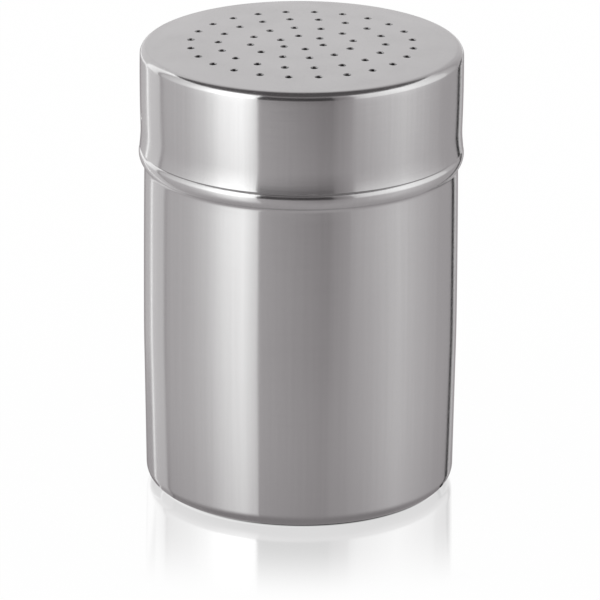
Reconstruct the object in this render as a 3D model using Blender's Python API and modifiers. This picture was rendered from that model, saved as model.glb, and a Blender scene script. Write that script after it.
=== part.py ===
"""Spice shaker in stainless sheet: a drawn can with a swaged bead, and a perforated lid that lifts off.

Units are metres and +Z is up. The origin is at the middle of the can's base, on the table, and the
front of the shaker looks along -Y. Run it with: blender --background --python part.py
"""

import math

import bmesh
import bpy
from mathutils import Matrix, Vector

MM = 0.001

# Sheet and fits
SHEET = 0.5 * MM
PIP_CLEARANCE = 0.3 * MM
SEAT_GAP = 0.35 * MM

# Wall of the can, measured on its outer skin
BELLY_RADIUS = 33.36 * MM
BELLY_HEIGHT = 37.0 * MM
FOOT_DRAW = 0.36 * MM
SHOULDER_DRAW = 0.2 * MM
WALL_HEIGHT = 69.25 * MM

# Base of the can
FOOT_CORNER = 3.0 * MM
RESTING_WIDTH = 4.0 * MM
PANEL_STEP = 3.0 * MM
PANEL_RISE = 0.8 * MM
PANEL_CROWN = 0.3 * MM

# Bead that carries the lid
BEAD_PROUD = 1.14 * MM
BEAD_LOWER_ROUND = 4.5 * MM
BEAD_UPPER_ROUND = 2.4 * MM
BEAD_LOWER_FILLET = 0.7 * MM
BEAD_UPPER_FILLET = 0.6 * MM

# Neck inside the lid
NECK_STEP = 0.26 * MM
MOUTH_LEAD = 1.8 * MM
MOUTH_TURN = 0.3 * MM
HEADROOM = 5.85 * MM

# Lid, measured on its outer skin
LID_DEPTH = 21.75 * MM
LID_CORNER = 1.9 * MM
LID_CROWN = 0.55 * MM
LID_SWELL = 0.16 * MM
LID_SWELL_HEIGHT = 15.0 * MM
RIM_FLARE = 0.25 * MM
RIM_FLARE_HEIGHT = 5.5 * MM

# Pips that hold the lid on the neck when the shaker is turned over
PIP_DEPTH = 0.25 * MM
PIP_DIAMETER = 1.7 * MM
PIP_FLAT = 0.7 * MM
PIP_HEIGHT = 7.4 * MM

# Sifting holes: rings in step with each other, and each ring has six holes more than the last
HOLE_DIAMETER = 1.5 * MM
HOLE_RING_RADIUS_SHARES = (0.141, 0.320, 0.517, 0.692)
HOLES_ADDED_PER_RING = 6
HOLE_TURN = math.radians(8.5)

CUT_OVERRUN = 1.0 * MM

# Fineness of the facets
TURN_STEPS = 64
WALL_STEPS = 6
FOOT_STEPS = 4
PANEL_STEPS = 3
PANEL_CROWN_STEPS = 2
BEAD_STEPS = 4
FILLET_STEPS = 2
CROWN_STEPS = 2
LID_CORNER_STEPS = 4
LID_WALL_STEPS = 4
FLARE_STEPS = 4
HOLE_SIDES = 10
PIP_SIDES = 12
WELD_DISTANCE = 0.01 * MM

# Radii that follow from the sizes above
SHOULDER_RADIUS = BELLY_RADIUS - SHOULDER_DRAW
BEAD_RADIUS = SHOULDER_RADIUS + BEAD_PROUD
NECK_RADIUS = SHOULDER_RADIUS - NECK_STEP
LID_RADIUS = NECK_RADIUS + PIP_CLEARANCE + PIP_DEPTH + SHEET
RIM_RADIUS = LID_RADIUS + RIM_FLARE

# The pips lie on both sides of the line that the rings of holes start from
PIP_TURNS = (HOLE_TURN - math.pi / 2, HOLE_TURN + math.pi / 2)

# Centres of the two rounds that make the bead: the lower one is flatter than the upper one
BEAD_LOWER_CENTRE = BEAD_RADIUS - BEAD_LOWER_ROUND
BEAD_UPPER_CENTRE = BEAD_RADIUS - BEAD_UPPER_ROUND


def leg(long_side, other_side):
    """The third side of a right-angled triangle."""
    return math.sqrt(long_side ** 2 - other_side ** 2)


# Heights that follow from where the rounds touch each other and the lid's rim meets the bead
LOWER_FILLET_CENTRE = SHOULDER_RADIUS + BEAD_LOWER_FILLET
UPPER_FILLET_CENTRE = NECK_RADIUS + BEAD_UPPER_FILLET
LOWER_REACH = LOWER_FILLET_CENTRE - BEAD_LOWER_CENTRE
UPPER_REACH = UPPER_FILLET_CENTRE - BEAD_UPPER_CENTRE
RIM_REACH = RIM_RADIUS - SHEET - BEAD_UPPER_CENTRE
BEAD_HEIGHT = WALL_HEIGHT + leg(BEAD_LOWER_ROUND + BEAD_LOWER_FILLET, LOWER_REACH)
NECK_FOOT = BEAD_HEIGHT + leg(BEAD_UPPER_ROUND + BEAD_UPPER_FILLET, UPPER_REACH)
RIM_HEIGHT = BEAD_HEIGHT + leg(BEAD_UPPER_ROUND + SEAT_GAP, RIM_REACH)
MOUTH_HEIGHT = RIM_HEIGHT + LID_DEPTH - SHEET - HEADROOM


def arc(centre, radius, start, end, steps):
    """Points of an arc in the plane of the profile; angles are in radians, and zero points outwards."""
    points = []
    for step in range(steps + 1):
        angle = start + (end - start) * step / steps
        points.append((centre[0] + radius * math.cos(angle), centre[1] + radius * math.sin(angle)))
    return points


def eased(share):
    """Goes from 0 to 1, and starts and stops gently."""
    return (1 - math.cos(math.pi * share)) / 2


def can_wall_radius(height):
    """The wall is widest at its belly and draws in towards the bead and the foot."""
    if height > BELLY_HEIGHT:
        away = (height - BELLY_HEIGHT) / (WALL_HEIGHT - BELLY_HEIGHT)
        return BELLY_RADIUS - SHOULDER_DRAW * away ** 2
    away = (BELLY_HEIGHT - height) / BELLY_HEIGHT
    return BELLY_RADIUS - FOOT_DRAW * away ** 2


def lid_wall_radius(height):
    """The lid's wall swells a little below its corner, and its last millimetres flare to the rim."""
    if height < RIM_FLARE_HEIGHT:
        return LID_RADIUS + RIM_FLARE * (1 - height / RIM_FLARE_HEIGHT) ** 2
    away = (height - LID_SWELL_HEIGHT) / (LID_SWELL_HEIGHT - RIM_FLARE_HEIGHT)
    return LID_RADIUS + LID_SWELL * (1 - away ** 2)


def neck_and_bead_points():
    """From the mouth down the neck, over the bead and into the wall."""
    points = [
        (NECK_RADIUS - MOUTH_TURN, MOUTH_HEIGHT),
        (NECK_RADIUS, MOUTH_HEIGHT - MOUTH_LEAD),
    ]
    upper_fillet = (UPPER_FILLET_CENTRE, NECK_FOOT)
    upper_round = (BEAD_UPPER_CENTRE, BEAD_HEIGHT)
    upper_touch = math.atan2(NECK_FOOT - BEAD_HEIGHT, UPPER_REACH)
    points += arc(upper_fillet, BEAD_UPPER_FILLET, math.pi, math.pi + upper_touch, FILLET_STEPS)
    points += arc(upper_round, BEAD_UPPER_ROUND, upper_touch, 0, BEAD_STEPS)[1:]

    lower_round = (BEAD_LOWER_CENTRE, BEAD_HEIGHT)
    lower_fillet = (LOWER_FILLET_CENTRE, WALL_HEIGHT)
    lower_touch = math.atan2(BEAD_HEIGHT - WALL_HEIGHT, LOWER_REACH)
    points += arc(lower_round, BEAD_LOWER_ROUND, 0, -lower_touch, BEAD_STEPS)[1:]
    points += arc(lower_fillet, BEAD_LOWER_FILLET, math.pi - lower_touch, math.pi, FILLET_STEPS)[1:]
    return points


def base_points():
    """From the foot's corner over the flat resting ring to the pushed-up panel."""
    foot_radius = can_wall_radius(FOOT_CORNER)
    corner = (foot_radius - FOOT_CORNER, FOOT_CORNER)
    points = arc(corner, FOOT_CORNER, 0, -math.pi / 2, FOOT_STEPS)
    ring_inside = foot_radius - FOOT_CORNER - RESTING_WIDTH
    panel_radius = ring_inside - PANEL_STEP
    for step in range(PANEL_STEPS + 1):
        share = step / PANEL_STEPS
        points.append((ring_inside - PANEL_STEP * share, PANEL_RISE * eased(share)))
    for step in range(1, PANEL_CROWN_STEPS + 1):
        share = step / PANEL_CROWN_STEPS
        points.append((panel_radius * (1 - share), PANEL_RISE + PANEL_CROWN * eased(share)))
    return points


def can_profile():
    """Outer skin of the can, from its mouth down to the middle of its base."""
    points = neck_and_bead_points()
    for step in range(1, WALL_STEPS):
        height = WALL_HEIGHT + (FOOT_CORNER - WALL_HEIGHT) * step / WALL_STEPS
        points.append((can_wall_radius(height), height))
    return points + base_points()


def lid_profile():
    """Outer skin of the lid, from the middle of its top down to its rim, with the rim at height zero."""
    corner_height = LID_DEPTH - LID_CORNER
    corner_radius = lid_wall_radius(corner_height) - LID_CORNER
    points = []
    for step in range(CROWN_STEPS):
        share = step / CROWN_STEPS
        points.append((corner_radius * share, LID_DEPTH + LID_CROWN * (1 - share ** 2)))
    points += arc((corner_radius, corner_height), LID_CORNER, math.pi / 2, 0, LID_CORNER_STEPS)
    for step in range(1, LID_WALL_STEPS + 1):
        height = corner_height + (RIM_FLARE_HEIGHT - corner_height) * step / LID_WALL_STEPS
        points.append((lid_wall_radius(height), height))
    for step in range(1, FLARE_STEPS + 1):
        height = RIM_FLARE_HEIGHT * (1 - step / FLARE_STEPS)
        points.append((lid_wall_radius(height), height))
    return points


def around(radius, turn, height):
    """A place on the shaker: the turn starts at the front and goes towards +X."""
    return Vector((radius * math.sin(turn), -radius * math.cos(turn), height))


def make_collection(name):
    """A collection that is linked to the scene."""
    collection = bpy.data.collections.new(name)
    bpy.context.scene.collection.children.link(collection)
    return collection


def make_steel(name, colour, roughness):
    """Bare stainless sheet."""
    material = bpy.data.materials.new(name)
    material.use_nodes = True
    shader = material.node_tree.nodes["Principled BSDF"]
    shader.inputs["Base Color"].default_value = (*colour, 1.0)
    shader.inputs["Metallic"].default_value = 1.0
    shader.inputs["Roughness"].default_value = roughness
    material.diffuse_color = (*colour, 1.0)
    return material


def add_object(name, mesh, collection, parent, location=(0, 0, 0)):
    """An object in a collection, placed under its parent."""
    item = bpy.data.objects.new(name, mesh)
    collection.objects.link(item)
    item.parent = parent
    item.location = location
    return item


def turned_sheet(name, profile, collection, parent, location=(0, 0, 0)):
    """A piece of sheet turned from the profile of its outer skin, with its thickness on the inside."""
    mesh = bpy.data.meshes.new(name)
    vertices = [(radius, 0, height) for radius, height in profile]
    edges = [(index, index + 1) for index in range(len(profile) - 1)]
    mesh.from_pydata(vertices, edges, [])
    item = add_object(name, mesh, collection, parent, location)
    turn = item.modifiers.new("turn the profile", "SCREW")
    turn.axis = "Z"
    turn.angle = math.tau
    turn.steps = TURN_STEPS
    turn.render_steps = TURN_STEPS
    turn.use_merge_vertices = True
    turn.merge_threshold = WELD_DISTANCE
    turn.use_smooth_shade = True
    sheet = item.modifiers.new("sheet thickness", "SOLIDIFY")
    sheet.thickness = SHEET
    sheet.offset = -1
    sheet.use_even_offset = True
    return item


def as_cutter(item):
    """A guide that only shapes another piece."""
    item.hide_render = True
    item.display_type = "WIRE"
    return item


def hole_cutters(collection, parent):
    """One straight punch for each sifting hole, in the lid's own frame."""
    bm = bmesh.new()
    bottom = LID_DEPTH - SHEET - CUT_OVERRUN
    top = LID_DEPTH + LID_CROWN + CUT_OVERRUN
    for ring, radius_share in enumerate(HOLE_RING_RADIUS_SHARES, start=1):
        count = HOLES_ADDED_PER_RING * ring
        for index in range(count):
            turn = HOLE_TURN + math.tau * index / count
            place = around(LID_RADIUS * radius_share, turn, (bottom + top) / 2)
            bmesh.ops.create_cone(
                bm, cap_ends=True, segments=HOLE_SIDES, radius1=HOLE_DIAMETER / 2,
                radius2=HOLE_DIAMETER / 2, depth=top - bottom, matrix=Matrix.Translation(place))
    mesh = bpy.data.meshes.new("hole_cutters")
    bm.to_mesh(mesh)
    bm.free()
    return as_cutter(add_object("hole_cutters", mesh, collection, parent))


def pip_shapes(name, outer_end, inner_end, collection, parent):
    """A short taper for each pip, which points at the shaker's axis between two distances from it."""
    bm = bmesh.new()
    middle = (outer_end + inner_end) / 2
    for turn in PIP_TURNS:
        place = Matrix.Translation(around(middle, turn, PIP_HEIGHT))
        facing = around(-1, turn, 0).to_track_quat("Z", "Y").to_matrix().to_4x4()
        bmesh.ops.create_cone(
            bm, cap_ends=True, segments=PIP_SIDES, radius1=PIP_DIAMETER / 2, radius2=PIP_FLAT / 2,
            depth=outer_end - inner_end, matrix=place @ facing)
    mesh = bpy.data.meshes.new(name)
    bm.to_mesh(mesh)
    bm.free()
    return as_cutter(add_object(name, mesh, collection, parent))


def use_tool(item, tool, operation):
    """Let a cutter shape a piece."""
    step = item.modifiers.new(tool.name, "BOOLEAN")
    step.operation = operation
    step.solver = "EXACT"
    step.object = tool


def build_can(parts, shaker):
    """The can: wall, bead and neck are one drawn and swaged piece."""
    can = turned_sheet("body_can", can_profile(), parts, shaker)
    can.data.materials.append(make_steel("satin steel, can", (0.60, 0.59, 0.59), 0.24))
    return can


def build_lid(parts, cutters, shaker):
    """The lid, with its origin on the axis that it lifts along, at the height of its rim."""
    lid = turned_sheet("perforated_lid", lid_profile(), parts, shaker, (0, 0, RIM_HEIGHT))
    lid.data.materials.append(make_steel("satin steel, lid", (0.62, 0.61, 0.61), 0.28))
    wall_radius = lid_wall_radius(PIP_HEIGHT)
    middle_of_sheet = wall_radius - SHEET / 2
    bumps = pip_shapes("pip_bumps", middle_of_sheet, wall_radius - SHEET - PIP_DEPTH, cutters, lid)
    dents = pip_shapes("pip_dents", wall_radius + PIP_DEPTH, wall_radius - PIP_DEPTH, cutters, lid)
    use_tool(lid, bumps, "UNION")
    use_tool(lid, dents, "DIFFERENCE")
    use_tool(lid, hole_cutters(cutters, lid), "DIFFERENCE")
    return lid


def main():
    for item in list(bpy.data.objects):
        bpy.data.objects.remove(item)
    parts = make_collection("spice_shaker")
    cutters = make_collection("spice_shaker cutters")
    shaker = add_object("shaker", None, parts, None)
    build_can(parts, shaker)
    build_lid(parts, cutters, shaker)
    bpy.context.view_layer.update()
    print("rim of the lid at", round(RIM_HEIGHT / MM, 2), "mm and mouth of the can at",
          round(MOUTH_HEIGHT / MM, 2), "mm")


main()
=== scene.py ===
# %% [markdown]
# # A spice shaker in stainless sheet
# The real shaker has two pieces. The can is drawn from one disc of sheet, and a bead is rolled out of its
# wall to carry the lid. The lid is a cap with sixty punched holes. Both shapes are round, so each is made
# here by drawing half a cross-section and spinning it. Bright steel has hardly a colour of its own: what
# shows is the room around it. So half of this lesson is about the shaker and half about its studio.

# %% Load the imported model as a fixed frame
import math

import bmesh
import bpy
from mathutils import Matrix, Vector


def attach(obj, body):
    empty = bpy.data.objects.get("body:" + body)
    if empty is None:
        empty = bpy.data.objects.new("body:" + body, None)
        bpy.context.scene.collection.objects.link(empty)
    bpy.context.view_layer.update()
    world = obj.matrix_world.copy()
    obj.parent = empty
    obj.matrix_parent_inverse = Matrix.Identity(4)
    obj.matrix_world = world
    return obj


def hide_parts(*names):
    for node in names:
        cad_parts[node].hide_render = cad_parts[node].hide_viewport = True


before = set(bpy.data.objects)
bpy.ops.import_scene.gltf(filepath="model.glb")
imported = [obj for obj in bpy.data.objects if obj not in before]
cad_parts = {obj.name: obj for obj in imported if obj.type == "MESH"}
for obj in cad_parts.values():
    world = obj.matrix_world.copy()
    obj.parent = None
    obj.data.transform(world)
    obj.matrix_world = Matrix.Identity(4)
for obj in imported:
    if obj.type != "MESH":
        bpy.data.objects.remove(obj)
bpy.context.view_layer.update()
scene = bpy.context.scene
scene.view_settings.view_transform = "Standard"

# %% [markdown]
# ## The sizes of the real pieces
# A sheet-metal worker measures the outer skin and the thickness of the sheet. These are the sizes of the
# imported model, in metres, with its bead, its foot and its lid fitted more closely to the real ones. Most of
# them differ from the model's by a few tenths of a millimetre, and the bead's lower round by one millimetre.

# %% Sizes
MM = 0.001
SHEET = 0.5 * MM

BELLY_RADIUS, BELLY_HEIGHT = 33.31 * MM, 37.0 * MM
SHOULDER_RADIUS, WALL_HEIGHT = 33.13 * MM, 70.05 * MM
FOOT_TAPER, FOOT_EASE = math.radians(0.9), 7.0 * MM
FOOT_CORNER = 3.3 * MM
RESTING_WIDTH = 4.0 * MM
PANEL_STEP, PANEL_RISE, PANEL_CROWN = 3.0 * MM, 0.8 * MM, 0.3 * MM

BEAD_RADIUS = 34.3 * MM
BEAD_LOWER_ROUND, BEAD_UPPER_ROUND = 3.43 * MM, 1.6 * MM
BEAD_LOWER_FILLET, BEAD_UPPER_FILLET = 1.4 * MM, 0.6 * MM

NECK_RADIUS, MOUTH_HEIGHT = 32.9 * MM, 89.978 * MM
MOUTH_LEAD, MOUTH_TURN = 1.8 * MM, 0.3 * MM

LID_RADIUS, RIM_RADIUS, RIM_HEIGHT = 33.93 * MM, 34.13 * MM, 74.578 * MM
LID_DEPTH, LID_CORNER, LID_CROWN = 21.66 * MM, 1.77 * MM, 0.64 * MM
LID_SWELL, LID_SWELL_HEIGHT, LID_SWELL_REACH = 0.13 * MM, 15.0 * MM, 9.5 * MM
FLARE_HEIGHT = 4.6 * MM

HOLE_DIAMETER = 1.58 * MM
HOLE_RING_RADII = (4.787 * MM, 10.864 * MM, 17.552 * MM, 23.493 * MM)
HOLES_ADDED_PER_RING = 6
HOLE_TURN = math.radians(8.5)

PIP_TURNS = (HOLE_TURN - math.pi / 2, HOLE_TURN + math.pi / 2)
PIP_HEIGHT, PIP_DEPTH = 7.4 * MM, 0.25 * MM
PIP_DIAMETER, PIP_FLAT = 1.7 * MM, 0.7 * MM

print("lid:", round(2000 * LID_RADIUS, 2), "mm across, bead:", round(2000 * BEAD_RADIUS, 2), "mm across")

# %% [markdown]
# ## A pen for cross-sections
# A drawn and rolled section is nothing but straight runs and rounds that touch each other. A pen that knows
# both is all that is needed: the line extrudes the last point, and the arc swings it about the centre of the
# round with the spin operator. No point of a round has to be worked out by hand.

# %% The pen
WELD = 0.002 * MM
TURN_STEPS = 256


def pen_down(bm, radius, height):
    """Starts a cross-section at a place beside the axis."""
    return bm.verts.new((radius, 0, height))


def draw_line(bm, pen, radius, height):
    """Draws a straight run to a place and returns the pen."""
    pen = bmesh.ops.extrude_vert_indiv(bm, verts=[pen])["verts"][0]
    pen.co = (radius, 0, height)
    return pen


def draw_arc(bm, pen, centre, turn, steps):
    """Swings the pen about a centre: a positive turn goes from up to outwards, like the hand of a clock."""
    swung = bmesh.ops.spin(bm, geom=[pen], cent=(centre[0], 0, centre[1]), axis=(0, 1, 0),
                           angle=turn, steps=steps, use_merge=False)
    return next(item for item in swung["geom_last"] if isinstance(item, bmesh.types.BMVert))


def turn_on_axis(bm):
    """Spins all that is drawn once round the axis, closes the seam and the pole, and turns the faces outwards."""
    bmesh.ops.spin(bm, geom=bm.verts[:] + bm.edges[:], cent=(0, 0, 0), axis=(0, 0, 1),
                   angle=math.tau, steps=TURN_STEPS, use_merge=True)
    bmesh.ops.remove_doubles(bm, verts=bm.verts, dist=WELD)
    bmesh.ops.recalc_face_normals(bm, faces=bm.faces)
    widest = max(bm.faces, key=lambda face: face.calc_center_median().xy.length)
    if widest.normal.xy.dot(widest.calc_center_median().xy) < 0:
        bmesh.ops.reverse_faces(bm, faces=bm.faces)


def bow(length, sag):
    """Radius of the arc that stands off its tangent by a sag over a length."""
    return (length ** 2 + sag ** 2) / (2 * sag)


def around(radius, turn, height):
    """A place on the shaker: the turn starts at the front and goes towards +X."""
    return Vector((radius * math.sin(turn), -radius * math.cos(turn), height))


# %% [markdown]
# ## The can's cross-section
# From the mouth, the neck goes straight down into a small fillet, over a bead made of a tight round above a
# flatter one, and through another fillet into the wall. The wall of the real can isn't quite straight: it is
# widest at its belly, which bends the reflections at its ends. Each of these is one swing of the pen.

# %% Draw the can's upper half: mouth, neck and bead
UPPER_FILLET_STEPS, BEAD_STEPS, LOWER_FILLET_STEPS = 6, 12, 8

can_bm = bmesh.new()
pen = pen_down(can_bm, NECK_RADIUS - MOUTH_TURN, MOUTH_HEIGHT)
pen = draw_line(can_bm, pen, NECK_RADIUS, MOUTH_HEIGHT - MOUTH_LEAD)

lower_centre = BEAD_RADIUS - BEAD_LOWER_ROUND
upper_centre = BEAD_RADIUS - BEAD_UPPER_ROUND
lower_reach = SHOULDER_RADIUS + BEAD_LOWER_FILLET - lower_centre
upper_reach = NECK_RADIUS + BEAD_UPPER_FILLET - upper_centre
lower_rise = math.sqrt((BEAD_LOWER_ROUND + BEAD_LOWER_FILLET) ** 2 - lower_reach ** 2)
upper_rise = math.sqrt((BEAD_UPPER_ROUND + BEAD_UPPER_FILLET) ** 2 - upper_reach ** 2)
bead_height = WALL_HEIGHT + lower_rise
neck_foot = bead_height + upper_rise
upper_touch = math.atan2(upper_rise, upper_reach)
lower_touch = math.atan2(lower_rise, lower_reach)

pen = draw_line(can_bm, pen, NECK_RADIUS, neck_foot)
pen = draw_arc(can_bm, pen, (NECK_RADIUS + BEAD_UPPER_FILLET, neck_foot), -upper_touch, UPPER_FILLET_STEPS)
pen = draw_arc(can_bm, pen, (upper_centre, bead_height), upper_touch, BEAD_STEPS)
pen = draw_arc(can_bm, pen, (lower_centre, bead_height), lower_touch, BEAD_STEPS)
pen = draw_arc(can_bm, pen, (SHOULDER_RADIUS + BEAD_LOWER_FILLET, WALL_HEIGHT), -lower_touch, LOWER_FILLET_STEPS)
print("bead at", round(bead_height / MM, 2), "mm, neck starts at", round(neck_foot / MM, 2), "mm")

# %% Draw the wall and the base
WALL_STEPS, EASE_STEPS, FOOT_STEPS, PANEL_STEPS = 14, 4, 10, 5

shoulder_bow = bow(WALL_HEIGHT - BELLY_HEIGHT, BELLY_RADIUS - SHOULDER_RADIUS)
foot_bow = FOOT_EASE / math.sin(FOOT_TAPER)
shoulder_swing = math.asin((WALL_HEIGHT - BELLY_HEIGHT) / shoulder_bow)
pen = draw_arc(can_bm, pen, (BELLY_RADIUS - shoulder_bow, BELLY_HEIGHT), shoulder_swing, WALL_STEPS)
pen = draw_arc(can_bm, pen, (BELLY_RADIUS - foot_bow, BELLY_HEIGHT), FOOT_TAPER, EASE_STEPS)
pen = draw_line(can_bm, pen, pen.co.x - (pen.co.z - FOOT_CORNER) * math.tan(FOOT_TAPER), FOOT_CORNER)

ring_outside = pen.co.x - FOOT_CORNER
ring_inside = ring_outside - RESTING_WIDTH
pen = draw_arc(can_bm, pen, (ring_outside, FOOT_CORNER), math.pi / 2, FOOT_STEPS)
pen = draw_line(can_bm, pen, ring_inside, 0)

panel_radius = ring_inside - PANEL_STEP
step_bow = bow(PANEL_STEP / 2, PANEL_RISE / 2)
step_swing = math.asin(PANEL_STEP / 2 / step_bow)
pen = draw_arc(can_bm, pen, (ring_inside, step_bow), step_swing, PANEL_STEPS)
pen = draw_arc(can_bm, pen, (panel_radius, PANEL_RISE - step_bow), -step_swing, PANEL_STEPS)
crown_bow = bow(panel_radius / 2, PANEL_CROWN / 2)
crown_swing = math.asin(panel_radius / 2 / crown_bow)
pen = draw_arc(can_bm, pen, (panel_radius, PANEL_RISE + crown_bow), crown_swing, PANEL_STEPS)
pen = draw_arc(can_bm, pen, (0, PANEL_RISE + PANEL_CROWN - crown_bow), -crown_swing, PANEL_STEPS)
pen.co.x = 0
print("base panel", round(2 * panel_radius / MM, 1), "mm across, its middle at", round(pen.co.z / MM, 2), "mm")

# %% Turn the can
turn_on_axis(can_bm)
print("can:", len(can_bm.faces), "faces in its outer skin")

# %% [markdown]
# ## From a skin to a piece of sheet
# The skin has no thickness yet. Solidify gives every piece the thickness of the sheet on its inner side, and
# a small Bevel takes the sharpness off the cut edges, so that they catch light as rolled steel does.

# %% Make a piece of sheet from a skin
CUT_EDGE = math.radians(55)
CAN_EDGE_ROUND, LID_EDGE_ROUND = 0.1 * MM, 0.05 * MM


def object_from(name, bm):
    """Puts what is drawn into the scene as an object."""
    mesh = bpy.data.meshes.new(name)
    bm.to_mesh(mesh)
    bm.free()
    made = bpy.data.objects.new(name, mesh)
    scene.collection.objects.link(made)
    return made


def piece_of_sheet(name, bm, edge_round):
    """A smooth object from a turned skin, with the sheet's thickness inside and its cut edges rounded."""
    piece = object_from(name, bm)
    piece.data.polygons.foreach_set("use_smooth", [True] * len(piece.data.polygons))
    thick = piece.modifiers.new("sheet thickness", "SOLIDIFY")
    thick.thickness = SHEET
    thick.offset = -1
    thick.use_even_offset = True
    edges = piece.modifiers.new("rounded cut edges", "BEVEL")
    edges.width = edge_round
    edges.segments = 2
    edges.limit_method = "ANGLE"
    edges.angle_limit = CUT_EDGE
    edges.harden_normals = True
    return piece


can = piece_of_sheet("drawn_can", can_bm, CAN_EDGE_ROUND)
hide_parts("body_can")
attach(can, "can")
print("can:", len(can.data.polygons), "faces before it gets its thickness")

# %% [markdown]
# ## The lid's cross-section
# The lid's wall swells a little below its corner and flares to its rim, so that it slips over the neck. The
# flat top is really a very shallow dome. The rounds are placed so that each one starts in the direction in
# which the last one ends, because polished steel shows the smallest kink as a broken reflection.

# %% Work out where the lid's rounds touch
SETTLING_ROUNDS = 20

swell_bow = bow(LID_SWELL_REACH, LID_SWELL)
swell_centre = Vector((LID_RADIUS + LID_SWELL - swell_bow, LID_SWELL_HEIGHT))
corner_height = LID_DEPTH - LID_CORNER
lean = math.asin((corner_height - LID_SWELL_HEIGHT) / (swell_bow - LID_CORNER))
corner_centre = Vector((swell_centre.x + (swell_bow - LID_CORNER) * math.cos(lean), corner_height))

dome_bow = bow(corner_centre.x, LID_CROWN) + LID_CORNER
for _ in range(SETTLING_ROUNDS):  # the dome has to touch the corner's round, which settles its radius
    dome_bow = LID_DEPTH + LID_CROWN - corner_height + math.sqrt(
        (dome_bow - LID_CORNER) ** 2 - corner_centre.x ** 2)
dome_slope = math.asin(corner_centre.x / (dome_bow - LID_CORNER))
print("dome of the top:", round(dome_bow / MM), "mm round, slope at its edge",
      round(math.degrees(dome_slope), 2), "degrees")

# %% Draw the lid from the edge of its top to its rim
LID_CORNER_STEPS, LID_WALL_STEPS, FLARE_STEPS = 12, 12, 9

waist_swing = math.asin((LID_SWELL_HEIGHT - FLARE_HEIGHT) / swell_bow)
waist_radius = swell_centre.x + swell_bow * math.cos(waist_swing)
rim_swing = 2 * (RIM_RADIUS - waist_radius) / FLARE_HEIGHT + waist_swing
flare_bow = FLARE_HEIGHT / (math.sin(rim_swing) + math.sin(waist_swing))
flare_centre = swell_centre + (swell_bow + flare_bow) * Vector((math.cos(waist_swing), -math.sin(waist_swing)))


def above_rim(place):
    """The lid is drawn where it sits on the can."""
    return place[0], place[1] + RIM_HEIGHT


lid_bm = bmesh.new()
top_edge = corner_centre + LID_CORNER * Vector((math.sin(dome_slope), math.cos(dome_slope)))
pen = pen_down(lid_bm, *above_rim(top_edge))
pen = draw_arc(lid_bm, pen, above_rim(corner_centre), math.pi / 2 - dome_slope - lean, LID_CORNER_STEPS)
pen = draw_arc(lid_bm, pen, above_rim(swell_centre), lean + waist_swing, LID_WALL_STEPS)
pen = draw_arc(lid_bm, pen, above_rim(flare_centre), -(waist_swing + rim_swing), FLARE_STEPS)
rim_pen = pen.co.copy()
turn_on_axis(lid_bm)
print("rim at", round(rim_pen.z / MM, 3), "mm and", round(rim_pen.x / MM, 3), "mm out")

# %% [markdown]
# ## The top and its punched holes
# A punch leaves a hole whose upper edge is drawn down a little. Each hole starts as a circle in the top. The
# space between the circles and the corner is filled in one step, and the edge of each hole is then pushed in
# and down in short rings. The rings next to the fill stay level, so that the top keeps an even sheen.

# %% Place the circles and fill the top between them
HOLE_SIDES = 24
COLLAR_RINGS = ((1.0, 0.0), (0.9, 0.006), (0.83, 0.025), (HOLE_DIAMETER / 2 / MM, 0.08))
COLLAR_RADIUS = 1.15 * MM


def dome_height(radius):
    """Height of the lid's top at a distance from the axis."""
    return RIM_HEIGHT + LID_DEPTH + LID_CROWN - dome_bow + math.sqrt(dome_bow ** 2 - radius ** 2)


hole_places = [
    around(ring_radius, HOLE_TURN + math.tau * index / (HOLES_ADDED_PER_RING * ring), 0)
    for ring, ring_radius in enumerate(HOLE_RING_RADII, start=1)
    for index in range(HOLES_ADDED_PER_RING * ring)
]
top_boundary = [edge for edge in lid_bm.edges
                if edge.is_boundary and edge.verts[0].co.z > RIM_HEIGHT + corner_height]
circles = []
for place in hole_places:
    circle = bmesh.ops.create_circle(lid_bm, cap_ends=False, radius=COLLAR_RADIUS, segments=HOLE_SIDES,
                                     matrix=Matrix.Translation(place))["verts"]
    for vert in circle:
        vert.co.z = dome_height(vert.co.xy.length)
    circles.append(circle)
circle_edges = [edge for circle in circles for edge in {e for vert in circle for e in vert.link_edges}]
bmesh.ops.triangle_fill(lid_bm, use_beauty=True, use_dissolve=False,
                        edges=top_boundary + circle_edges, normal=(0, 0, 1))
print(len(hole_places), "holes in a top of", round(2 * top_edge.x / MM, 1), "mm")

# %% Push the edge of each hole in and down
for place, circle in zip(hole_places, circles):
    edges = [edge for vert in circle for edge in vert.link_edges if edge.is_boundary]
    centre = Vector((place.x, place.y, dome_height(place.xy.length)))
    last_radius, last_drop = COLLAR_RADIUS / MM, 0.0
    for radius, drop in COLLAR_RINGS:
        pushed = bmesh.ops.extrude_edge_only(lid_bm, edges=list(set(edges)))["geom"]
        verts = [item for item in pushed if isinstance(item, bmesh.types.BMVert)]
        edges = [item for item in pushed if isinstance(item, bmesh.types.BMEdge)]
        bmesh.ops.scale(lid_bm, vec=(radius / last_radius,) * 2 + (1,), verts=verts,
                        space=Matrix.Translation(-centre))
        bmesh.ops.translate(lid_bm, vec=(0, 0, (last_drop - drop) * MM), verts=verts)
        last_radius, last_drop = radius, drop
bmesh.ops.recalc_face_normals(lid_bm, faces=lid_bm.faces)
if max(lid_bm.faces, key=lambda face: face.calc_area()).normal.z < 0:
    bmesh.ops.reverse_faces(lid_bm, faces=lid_bm.faces)
print("lid:", len(lid_bm.faces), "faces in its outer skin")

# %% [markdown]
# ## The two pips
# A small blunt punch presses two pips into the lid's wall, and they hold the lid on the neck. A pip is much
# smaller than the faces of the wall, so the faces around it are divided first, and then their points are
# pushed in along a smooth slope.

# %% Press the pips
PIP_PATCH, PIP_CUTS = 1.5 * PIP_DIAMETER, 4

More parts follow.
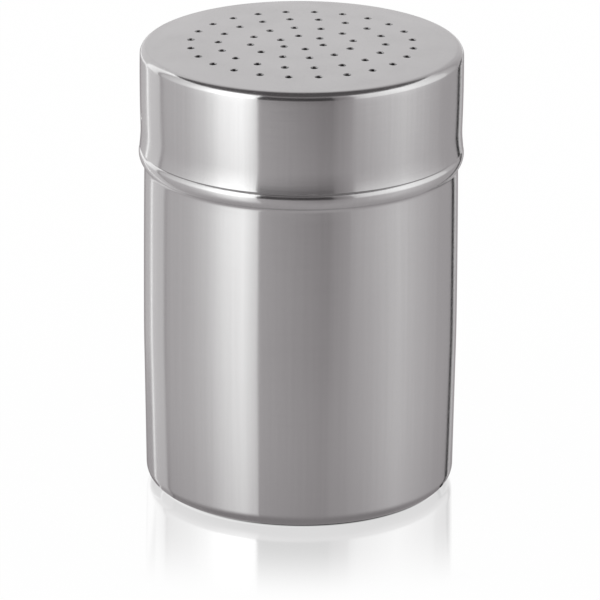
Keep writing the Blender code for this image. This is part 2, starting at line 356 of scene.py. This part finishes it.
for turn in PIP_TURNS:
    outward = around(1, turn, 0)
    middle = around(LID_RADIUS, turn, RIM_HEIGHT + PIP_HEIGHT)
    near = [edge for edge in lid_bm.edges
            if all((vert.co - middle).length < PIP_PATCH for vert in edge.verts)]
    bmesh.ops.subdivide_edges(lid_bm, edges=near, cuts=PIP_CUTS, use_grid_fill=True)
    for vert in lid_bm.verts:
        share = 1 - 2 * (vert.co - middle).length / PIP_DIAMETER
        if share > 0:
            share = min(1, share / (1 - PIP_FLAT / PIP_DIAMETER))
            vert.co -= outward * PIP_DEPTH * share * share * (3 - 2 * share)

lid = piece_of_sheet("sifter_lid", lid_bm, LID_EDGE_ROUND)
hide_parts("perforated_lid")
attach(lid, "lid")
print("lid:", len(lid.data.polygons), "faces with its pips")

# %% [markdown]
# ## Satin steel
# Stainless sheet is grey, a mirror, and a little rough. Three things make it look like itself. Fine lines
# run round the wall from polishing on a lathe, and they spread reflections up and down far more than
# sideways, which is what the anisotropic setting does along a tangent. Faint upright streaks come from
# drawing the sheet through the die. And the roughness isn't even. All of it is noise, stretched differently.

# %% Helpers for materials
NOISE_MIDDLE = (0.3, 0.7)


def node(tree, kind, **values):
    """Adds a shader node and sets its inputs by name."""
    made = tree.nodes.new(kind)
    for name, value in values.items():
        made.inputs[name].default_value = value
    return made


def worked_out(tree, operation, first, second):
    """Adds a Math node that works on two outputs."""
    made = node(tree, "ShaderNodeMath")
    made.operation = operation
    tree.links.new(first, made.inputs[0])
    tree.links.new(second, made.inputs[1])
    return made.outputs[0]


def ranged(tree, value, old, new):
    """Takes a value from one range to another."""
    made = node(tree, "ShaderNodeMapRange", **{"From Min": old[0], "From Max": old[1],
                                               "To Min": new[0], "To Max": new[1]})
    tree.links.new(value, made.inputs["Value"])
    return made


def mixed_shaders(tree, share, first, second):
    """Adds a Mix Shader; the share is an output that says how much of the second shader shows."""
    made = tree.nodes.new("ShaderNodeMixShader")
    tree.links.new(share, made.inputs["Fac"])
    tree.links.new(first, made.inputs[1])
    tree.links.new(second, made.inputs[2])
    return made.outputs[0]


def stretched_noise(tree, stretch, detail):
    """Noise on Object coordinates, stretched by a scale in each direction, per metre."""
    where = tree.nodes.new("ShaderNodeTexCoord")
    mapping = node(tree, "ShaderNodeMapping", Scale=stretch)
    noise = node(tree, "ShaderNodeTexNoise", Scale=1.0, Detail=detail)
    tree.links.new(where.outputs["Object"], mapping.inputs["Vector"])
    tree.links.new(mapping.outputs["Vector"], noise.inputs["Vector"])
    return noise.outputs["Fac"]


# %% Which way the lathe lines run
LEVEL_NORMAL = 0.9


def lathe_grain(tree):
    """The direction of the lathe lines: round the axis on the wall, and straight across the level top."""
    where = tree.nodes.new("ShaderNodeTexCoord")
    round_axis = node(tree, "ShaderNodeVectorMath")
    round_axis.operation = "CROSS_PRODUCT"
    round_axis.inputs[0].default_value = (0, 0, 1)
    facing = tree.nodes.new("ShaderNodeSeparateXYZ")
    level = node(tree, "ShaderNodeMath")
    level.operation = "GREATER_THAN"
    level.inputs[1].default_value = LEVEL_NORMAL
    grain = tree.nodes.new("ShaderNodeMix")
    grain.data_type = "VECTOR"
    grain.inputs["B"].default_value = (1, 0, 0)
    tree.links.new(where.outputs["Object"], round_axis.inputs[1])
    tree.links.new(where.outputs["Normal"], facing.inputs[0])
    tree.links.new(facing.outputs["Z"], level.inputs[0])
    tree.links.new(level.outputs[0], grain.inputs["Factor"])
    tree.links.new(round_axis.outputs["Vector"], grain.inputs["A"])
    return grain.outputs["Result"]


# %% Make the steel
STEEL_GREY, STEEL_ROUGHNESS, STEEL_ANISOTROPY = (0.60, 0.599, 0.599), 0.155, 0.93
GRAIN_TURN = 0.25
STREAKS, LINES, CLOUDS = (1500, 1500, 14), (110, 110, 4200), (60, 60, 45)
CLOUD_SHEEN, LINE_SHEEN = 0.015, 0.02
STREAK_SHADE = 0.014
STREAK_DEPTH, LINE_DEPTH = 0.0022 * MM, 0.0025 * MM


def satin_steel(name):
    """Polished stainless sheet with lathe lines, drawing streaks and an uneven sheen."""
    steel = bpy.data.materials.new(name)
    steel.use_nodes = True
    tree = steel.node_tree
    shader = tree.nodes["Principled BSDF"]
    shader.inputs["Metallic"].default_value = 1.0
    shader.inputs["Anisotropic"].default_value = STEEL_ANISOTROPY
    shader.inputs["Anisotropic Rotation"].default_value = GRAIN_TURN
    tree.links.new(lathe_grain(tree), shader.inputs["Tangent"])

    streaks = stretched_noise(tree, STREAKS, detail=4)
    lines = stretched_noise(tree, LINES, detail=2)
    clouds = stretched_noise(tree, CLOUDS, detail=2)

    cloudy = ranged(tree, clouds, NOISE_MIDDLE, (STEEL_ROUGHNESS - CLOUD_SHEEN, STEEL_ROUGHNESS + CLOUD_SHEEN))
    lined = ranged(tree, lines, NOISE_MIDDLE, (-LINE_SHEEN, LINE_SHEEN))
    sheen = worked_out(tree, "ADD", cloudy.outputs["Result"], lined.outputs["Result"])
    tree.links.new(sheen, shader.inputs["Roughness"])

    shades = tree.nodes.new("ShaderNodeMix")
    shades.data_type = "RGBA"
    shades.inputs["A"].default_value = (*(part * (1 - STREAK_SHADE) for part in STEEL_GREY), 1)
    shades.inputs["B"].default_value = (*(part * (1 + STREAK_SHADE) for part in STEEL_GREY), 1)
    tree.links.new(ranged(tree, streaks, NOISE_MIDDLE, (0, 1)).outputs["Result"], shades.inputs["Factor"])
    tree.links.new(shades.outputs["Result"], shader.inputs["Base Color"])

    bumps = node(tree, "ShaderNodeBump", Strength=1.0, Distance=STREAK_DEPTH)
    tree.links.new(streaks, bumps.inputs["Height"])
    grooves = node(tree, "ShaderNodeBump", Strength=1.0, Distance=LINE_DEPTH)
    tree.links.new(lines, grooves.inputs["Height"])
    tree.links.new(bumps.outputs["Normal"], grooves.inputs["Normal"])
    tree.links.new(grooves.outputs["Normal"], shader.inputs["Normal"])
    return steel


can.data.materials.append(satin_steel("satin steel, can"))
lid.data.materials.append(satin_steel("satin steel, lid"))
print("steel on", can.name, "and", lid.name)

# %% [markdown]
# ## A white floor that mirrors a little
# In a catalogue picture the ground is pure white, and the object stands on a faint reflection of itself that
# fades out within a few centimetres. The floor shines white by itself where the camera or a reflection looks
# at it, so that no lamp has to bleach it. A share of plain diffuse white keeps a soft shadow. A mirror gives
# the reflection: it is strong at the foot and gone a hand's width away, and, as on any glossy table, it is
# weaker for a look from above.

# %% Lay the floor
FLOOR_SIZE, FLOOR_DROP = 6.0, 0.05 * MM

floor_bm = bmesh.new()
bmesh.ops.create_grid(floor_bm, x_segments=1, y_segments=1, size=FLOOR_SIZE / 2)
floor = object_from("floor", floor_bm)
floor.location.z = -FLOOR_DROP

# %% How strongly the floor mirrors, and the painted shadow that darkens its glow under the foot
MIRROR_SHARE, MIRROR_ROUGHNESS = 0.34, 0.04
MIRROR_START, MIRROR_END = 39 * MM, 72 * MM
STEEP_SLANT, LOW_SLANT, STEEP_SHARE = 0.05, 0.6, 0.15
# The painted contact shadow: its radius, its soft edge, how far it is set to the right and towards the front, and
# how much glow is left inside it.
PAINTED_SHADOW_RADIUS, PAINTED_SHADOW_SOFTNESS = 30.08 * MM, 0.35 * MM
PAINTED_SHADOW_SIDE, PAINTED_SHADOW_FORWARD, PAINTED_SHADOW_GLOW = 0.3 * MM, 0.45 * MM, 0.04

white = bpy.data.materials.new("white floor")
white.use_nodes = True
tree = white.node_tree
tree.nodes.clear()


def smooth_rings(offset, radii, values):
    """A value that goes smoothly from one to another between two radii on the floor, off the axis by an offset."""
    where = tree.nodes.new("ShaderNodeTexCoord")
    flat = node(tree, "ShaderNodeVectorMath")
    flat.operation = "MULTIPLY"
    flat.inputs[1].default_value = (1, 1, 0)
    moved = node(tree, "ShaderNodeVectorMath")
    moved.inputs[1].default_value = (*offset, 0)
    distance = node(tree, "ShaderNodeVectorMath")
    distance.operation = "LENGTH"
    tree.links.new(where.outputs["Object"], flat.inputs[0])
    tree.links.new(flat.outputs["Vector"], moved.inputs[0])
    tree.links.new(moved.outputs["Vector"], distance.inputs[0])
    ringed = ranged(tree, distance.outputs["Value"], radii, values)
    ringed.interpolation_type = "SMOOTHSTEP"
    return ringed.outputs["Result"]


near_foot = smooth_rings((0, 0), (MIRROR_START, MIRROR_END), (MIRROR_SHARE, 0.0))
slant = node(tree, "ShaderNodeLayerWeight", Blend=0.5)
low_look = ranged(tree, slant.outputs["Facing"], (STEEP_SLANT, LOW_SLANT), (STEEP_SHARE, 1.0))
mirror_share = worked_out(tree, "MULTIPLY", low_look.outputs["Result"], near_foot)
# Painted shadow: the floor's glow is dimmed to almost nothing in a ring under the foot, set a little to the right
# and towards the front.
painted_contact_shadow = smooth_rings((-PAINTED_SHADOW_SIDE, PAINTED_SHADOW_FORWARD),
                       (PAINTED_SHADOW_RADIUS - PAINTED_SHADOW_SOFTNESS, PAINTED_SHADOW_RADIUS + PAINTED_SHADOW_SOFTNESS), (PAINTED_SHADOW_GLOW, 1.0))

# %% Mix the floor's shader: glow, a little matt white for the shadow, and the mirror
SHADOW_SHARE = 0.05
MATT_WHITE, PLAIN_WHITE = (0.95, 0.95, 0.95, 1), (0.8, 0.8, 0.8, 1)

glow = node(tree, "ShaderNodeEmission", Strength=1.0)
# The painted contact shadow sets the strength of the floor's glow.
tree.links.new(painted_contact_shadow, glow.inputs["Strength"])
matt = node(tree, "ShaderNodeBsdfDiffuse", Color=MATT_WHITE)
ground = node(tree, "ShaderNodeMixShader", Fac=SHADOW_SHARE)
tree.links.new(glow.outputs[0], ground.inputs[1])
tree.links.new(matt.outputs[0], ground.inputs[2])
mirror = node(tree, "ShaderNodeBsdfAnisotropic", Color=(1, 1, 1, 1), Roughness=MIRROR_ROUGHNESS)
mirrored = mixed_shaders(tree, mirror_share, ground.outputs[0], mirror.outputs[0])

rays = tree.nodes.new("ShaderNodeLightPath")
seen = worked_out(tree, "MAXIMUM", rays.outputs["Is Camera Ray"], rays.outputs["Is Glossy Ray"])
seen = worked_out(tree, "MAXIMUM", seen, rays.outputs["Is Transmission Ray"])
plain = node(tree, "ShaderNodeBsdfDiffuse", Color=PLAIN_WHITE)
chosen = mixed_shaders(tree, seen, plain.outputs[0], mirrored)
out = tree.nodes.new("ShaderNodeOutputMaterial")
tree.links.new(chosen, out.inputs["Surface"])
floor.data.materials.append(white)
print("floor:", FLOOR_SIZE, "m, mirror from", round(MIRROR_START / MM), "to", round(MIRROR_END / MM), "mm")

# %% World: white to the eye and in reflections, and an even light on everything else
world = bpy.data.worlds.new("white studio")
scene.world = world
world.use_nodes = True
tree = world.node_tree
tree.nodes["Background"].inputs["Color"].default_value = (1, 1, 1, 1)
tree.nodes["Background"].inputs["Strength"].default_value = 1.0
print("world:", world.name)

# %% [markdown]
# ## Cards around the shaker
# A photographer builds the look of bright metal with cards: white ones glow in it, grey ones tone it down,
# and black ones draw its edges. The camera looks down on the shaker, so its upright wall mirrors the table
# beside it, and the cards have to lie there, from the foot outwards, before they rise at the back. The edge
# of a card shows as an upright line on the can if it runs along the path that a look takes after it meets
# the wall: it starts at a turn of the wall and leaves at twice that turn. Only reflections show the cards.

# %% The run of a card
# From under the foot's edge a card runs out along the ground, rises where it ends, and is painted at these places.
CARD_START, CARD_GAP = 30.7 * MM, 0.25 * MM
WALL_RADIUS = 33.25 * MM
CARD_REACH, CARD_TOP = 600 * MM, 600 * MM
LOOK_SPREAD = math.radians(1.6)
# The shaker's own shadow: narrow and dark beside the foot, wide and faint around it.
SHADE_WIDTH, FOOT_SHADE = 4 * MM, 0.66
WIDE_SHADE_WIDTH, WIDE_SHADE = 50 * MM, 0.9
# How the glow beside the foot gives way to the one far out, and then to that of the standing part.
FAR = ((0, 0), (0.18, 0.45), (0.215, 0.45), (0.285, 1))
CLIMB = (400 * MM, 680 * MM)
# A paler band along the top of the standing part.
CREST, CREST_START, CREST_FULL = 0.24, 450 * MM, 550 * MM
UNDER_FOOT = -1
REACHES = (UNDER_FOOT, 0, 0.25 * SHADE_WIDTH, SHADE_WIDTH, 0.015, 0.03, 0.05, 0.07, 0.09, 0.12, 0.15, 0.18, 0.215,
           0.25, 0.285, 0.4, 0.45, 0.5, 0.55, CARD_REACH)
HEIGHTS = (0.02, 0.04, 0.06, 0.08, 0.1, 0.13, CREST_START, CREST_FULL, CARD_TOP)
print("a card is painted in", len(REACHES), "rows on the ground and", len(HEIGHTS), "standing")

# %% Card paint: light on the front of a card, and nothing on its back
STEEP_GLOW, STEEP_FACING, FLAT_FACING = 0.48, 0.18, 0.45


def card_paint():
    """Light that is painted on a card's points, with another value for rays that fall on it steeply."""
    paint = bpy.data.materials.new("card")
    paint.use_nodes = True
    paint.cycles.emission_sampling = "NONE"
    tree = paint.node_tree
    tree.nodes.clear()
    flat_glow = tree.nodes.new("ShaderNodeAttribute")
    flat_glow.attribute_name = "glow"
    steep_glow = tree.nodes.new("ShaderNodeAttribute")
    steep_glow.attribute_name = "steep glow"
    slant = node(tree, "ShaderNodeLayerWeight", Blend=0.5)
    flat = ranged(tree, slant.outputs["Facing"], (STEEP_FACING, FLAT_FACING), (0.0, 1.0))
    shown = tree.nodes.new("ShaderNodeMix")
    shown.data_type = "RGBA"
    tree.links.new(flat.outputs["Result"], shown.inputs["Factor"])
    tree.links.new(steep_glow.outputs["Color"], shown.inputs["A"])
    tree.links.new(flat_glow.outputs["Color"], shown.inputs["B"])
    light = tree.nodes.new("ShaderNodeEmission")
    tree.links.new(shown.outputs["Result"], light.inputs["Color"])
    nothing = tree.nodes.new("ShaderNodeBsdfTransparent")
    side = tree.nodes.new("ShaderNodeNewGeometry")
    one_sided = mixed_shaders(tree, side.outputs["Backfacing"], light.outputs[0], nothing.outputs[0])
    out = tree.nodes.new("ShaderNodeOutputMaterial")
    tree.links.new(one_sided, out.inputs["Surface"])
    return paint


CARD_PAINT = card_paint()
print("paint:", CARD_PAINT.name)

# %% Helpers for one card
WARMTH, WARMTH_GONE, WARMTH_RISE, GREEN_DROP = 0.013, 1.6, 3, 0.65


def put_up(name, bm):
    """Makes a card from its mesh; only reflections see it."""
    card = object_from(name, bm)
    card.data.materials.append(CARD_PAINT)
    card.visible_camera = False
    card.visible_diffuse = False
    card.visible_shadow = False
    card.visible_transmission = False
    return card


def card_colour(glow):
    """A grey card is a little warm, and a bright one is not."""
    warmth = WARMTH * max(0, min(1, WARMTH_GONE - glow, WARMTH_RISE * glow))
    return (glow + warmth, glow - GREEN_DROP * warmth, glow, 1)


def mix(pair, share):
    """A value between the two of a pair."""
    return pair[0] + (pair[1] - pair[0]) * share


def along(points, place):
    """The value at a place on a line of (place, value) points."""
    for (start, low), (end, high) in zip(points, points[1:]):
        if place <= end:
            return mix((low, high), max(0, place - start) / (end - start))
    return points[-1][1]


def lay_card(name, turns, near, far, high, climb=CLIMB, farther=FAR):
    """A card between two turns of the wall, with its glow beside the foot, far out, and standing up."""
    turns = [math.radians(turn) for turn in turns]
    steps = max(2, round(math.degrees(abs(turns[1] - turns[0]))))
    path = [(reach, 0) for reach in REACHES]
    if high:
        path += [(CARD_REACH, height) for height in HEIGHTS]
    bm = bmesh.new()
    bmesh.ops.create_grid(bm, x_segments=steps, y_segments=len(path) - 1, size=0.5)
    paint = bm.verts.layers.float_color.new("glow")
    steep_paint = bm.verts.layers.float_color.new("steep glow")
    for vert in bm.verts:
        across = vert.co.x + 0.5
        reach, height = path[round((vert.co.y + 0.5) * (len(path) - 1))]
        turn = mix(turns, across)
        away = 2 * turn + LOOK_SPREAD * math.sin(turn)
        start = around(CARD_START if reach == UNDER_FOOT else WALL_RADIUS, turn, CARD_GAP + height)
        vert.co = start + around(max(reach, 0), away, 0)
        glow = mix((mix(near, across), mix(far, across)), along(farther, reach))
        shade = mix((WIDE_SHADE, 1), min(1, max(reach, 0) / WIDE_SHADE_WIDTH))
        shade *= mix((FOOT_SHADE, 1), min(1, max(reach, 0) / SHADE_WIDTH))
        top_glow = glow
        if high:
            crest = min(1, max(0, height - CREST_START) / (CREST_FULL - CREST_START))
            top_glow = mix(high, across) + CREST * crest
        rise = min(1, max(0, max(reach, 0) + height - climb[0]) / (climb[1] - climb[0]))
        rise = rise * rise * (3 - 2 * rise)
        vert[paint] = card_colour(mix((glow * shade, top_glow), rise))
        vert[steep_paint] = card_colour(mix((STEEP_GLOW * shade, top_glow), min(1, height / MM)))
    bm.normal_update()
    if bm.faces and sum(face.normal.z for face in bm.faces) < 0:
        bmesh.ops.reverse_faces(bm, faces=bm.faces)
    return put_up(name, bm)


# %% Lay the cards, from the left round the front to the right
CLOTH_CLIMB = (700 * MM, 770 * MM)
CARDS = (
    ("backdrop, left", (-90, -80.5), (0.30, 0.37), (0.30, 0.37), None),
    ("grey card at the back left", (-80.5, -71.2), (0.45, 0.49), (0.52, 0.66), (1.2, 1.5), CLIMB,
     ((0.06, 0), (0.09, 1))),
    ("white slit", (-71.2, -69.6), (1.45, 1.45), (1.5, 1.5), (1.5, 1.5)),
    ("grey card beside it", (-69.6, -59.2), (0.71, 0.71), (0.79, 0.79), (1.5, 1.1)),
    ("black edge of the softbox", (-59.2, -57.2), (0.44, 0.44), (0.44, 0.44), (0.5, 0.5)),
    ("dim half of the left softbox", (-57.2, -44), (0.54, 0.615), (0.61, 0.67), (0.7, 1.05)),
    ("middle of the left softbox", (-44, -36), (0.615, 0.70), (0.67, 0.93), (1.05, 1.5)),
    ("bright half of the left softbox", (-36, -28), (0.69, 0.95), (0.90, 1.43), (1.5, 2.2)),
    ("edge of the left softbox", (-28, -21), (0.95, 1.10), (1.43, 1.60), (2.2, 2.2)),
    ("end of the left softbox", (-21, -15.3), (1.08, 0.83), (1.58, 1.10), (2.2, 1.6)),
    ("dark cloth, left", (-15.3, 8), (0.52, 0.43), (0.555, 0.305), (0.08, 0.06), CLOTH_CLIMB),
    ("dark cloth, right", (8, 11.2), (0.43, 0.45), (0.305, 0.29), (0.06, 0.08), CLOTH_CLIMB),
    ("first strip of the right softbox", (11.2, 18.2), (0.465, 0.485), (0.32, 0.455), (0.22, 0.45)),
    ("second strip of the right softbox", (18.2, 22), (0.50, 0.52), (0.515, 0.575), (0.7, 1.0)),
    ("right softbox, near", (22, 38), (0.52, 0.715), (0.575, 0.815), (1.0, 1.4)),
    ("right softbox, far", (38, 60), (0.715, 0.525), (0.815, 0.47), (1.4, 0.9)),
    ("grey card at the right", (60, 72.3), (0.515, 0.44), (0.485, 0.46), (0.7, 0.45)),
    ("black strip", (72.3, 75.9), (0.0, 0.0), (0.0, 0.0), (0.1, 0.1)),
    ("grey card at the back right", (75.9, 79.5), (0.70, 0.62), (0.72, 0.64), (0.6, 0.6)),
    ("backdrop, right", (79.5, 90), (0.42, 0.34), (0.42, 0.34), None),
)
for name, turns, near, far, high, *special in CARDS:
    lay_card(name.replace(" ", "_").replace(",", ""), turns, near, far, high, *special)
print(len(CARDS), "cards")

# %% A dark ceiling, which draws the dark line round the lid's corner
CEILING_SIZE, CEILING = 1.3, 0.11
CEILING_EDGE_START, CEILING_EDGE_WIDTH = 0.46, 0.1
HANGING_STEPS = 26


def hang_card(name, size, place, shade_at):
    """A flat card in its place, painted point by point."""
    bm = bmesh.new()
    bmesh.ops.create_grid(bm, x_segments=HANGING_STEPS, y_segments=HANGING_STEPS, size=0.5,
                          matrix=place @ Matrix.Diagonal((*size, 1, 1)))
    for layer in ("glow", "steep glow"):
        paint = bm.verts.layers.float_color.new(layer)
        for vert in bm.verts:
            vert[paint] = card_colour(shade_at(vert.co))
    return put_up(name, bm)


def ceiling_shade(spot):
    """Dark, and a little paler where it meets the standing cards in front."""
    edge = min(1, max(0, (spot.xy.length - CEILING_EDGE_START) / CEILING_EDGE_WIDTH))
    return CEILING + (CREST * edge if spot.y < 0 else 0)


hang_card("dark_ceiling", (CEILING_SIZE, CEILING_SIZE),
          Matrix.Translation((0, 0, CARD_TOP)) @ Matrix.Rotation(math.pi, 4, "X"), ceiling_shade)
print("ceiling at", CARD_TOP, "m")

# %% A pale card behind, which the lid's top mirrors
PALE, PALE_FOOT, PALE_TOP = 0.79, 84 * MM, 595 * MM
PALE_WIDTH, PALE_BACK = 0.36, 0.15
PALE_FADE, PALE_SIDE, PALE_SIDE_START = 0.27, 2.2, 0.02


def pale_shade(spot):
    """Even up to the height that the lid's top mirrors, and dark above; a little brighter on the left."""
    rise = max(0, (spot.z - PALE_FADE) / (PALE_TOP - PALE_FADE))
    return mix((PALE - PALE_SIDE * max(0, spot.x - PALE_SIDE_START), CEILING), rise)


hang_card("pale_card_behind", (PALE_WIDTH, PALE_TOP - PALE_FOOT),
          Matrix.Translation((0, PALE_BACK, (PALE_TOP + PALE_FOOT) / 2)) @ Matrix.Rotation(math.pi / 2, 4, "X"),
          pale_shade)
print("pale card", PALE_BACK, "m behind")

# %% [markdown]
# ## The camera
# The picture was taken from a good metre away with a long lens, which keeps the wall's sides almost parallel
# and shows the top as a narrow ellipse.

# %% Camera
CAMERA_PLACE = (0, -1.1658, 0.4522)
LOOK_DOWN, LOOK_RIGHT, ROLL = 0.3402, -0.00007, 0.0062
SENSOR, LENS = 36.0, 348.45
camera = bpy.data.objects.new("camera", bpy.data.cameras.new("camera"))
camera.data.sensor_width = SENSOR
camera.data.lens = LENS
camera.matrix_world = (
    Matrix.Translation(CAMERA_PLACE) @ Matrix.Rotation(-LOOK_RIGHT, 4, "Z")
    @ Matrix.Rotation(math.pi / 2 - LOOK_DOWN, 4, "X") @ Matrix.Rotation(ROLL, 4, "Z"))
scene.collection.objects.link(camera)
scene.camera = camera
print("camera looks down", round(math.degrees(LOOK_DOWN), 1), "degrees")
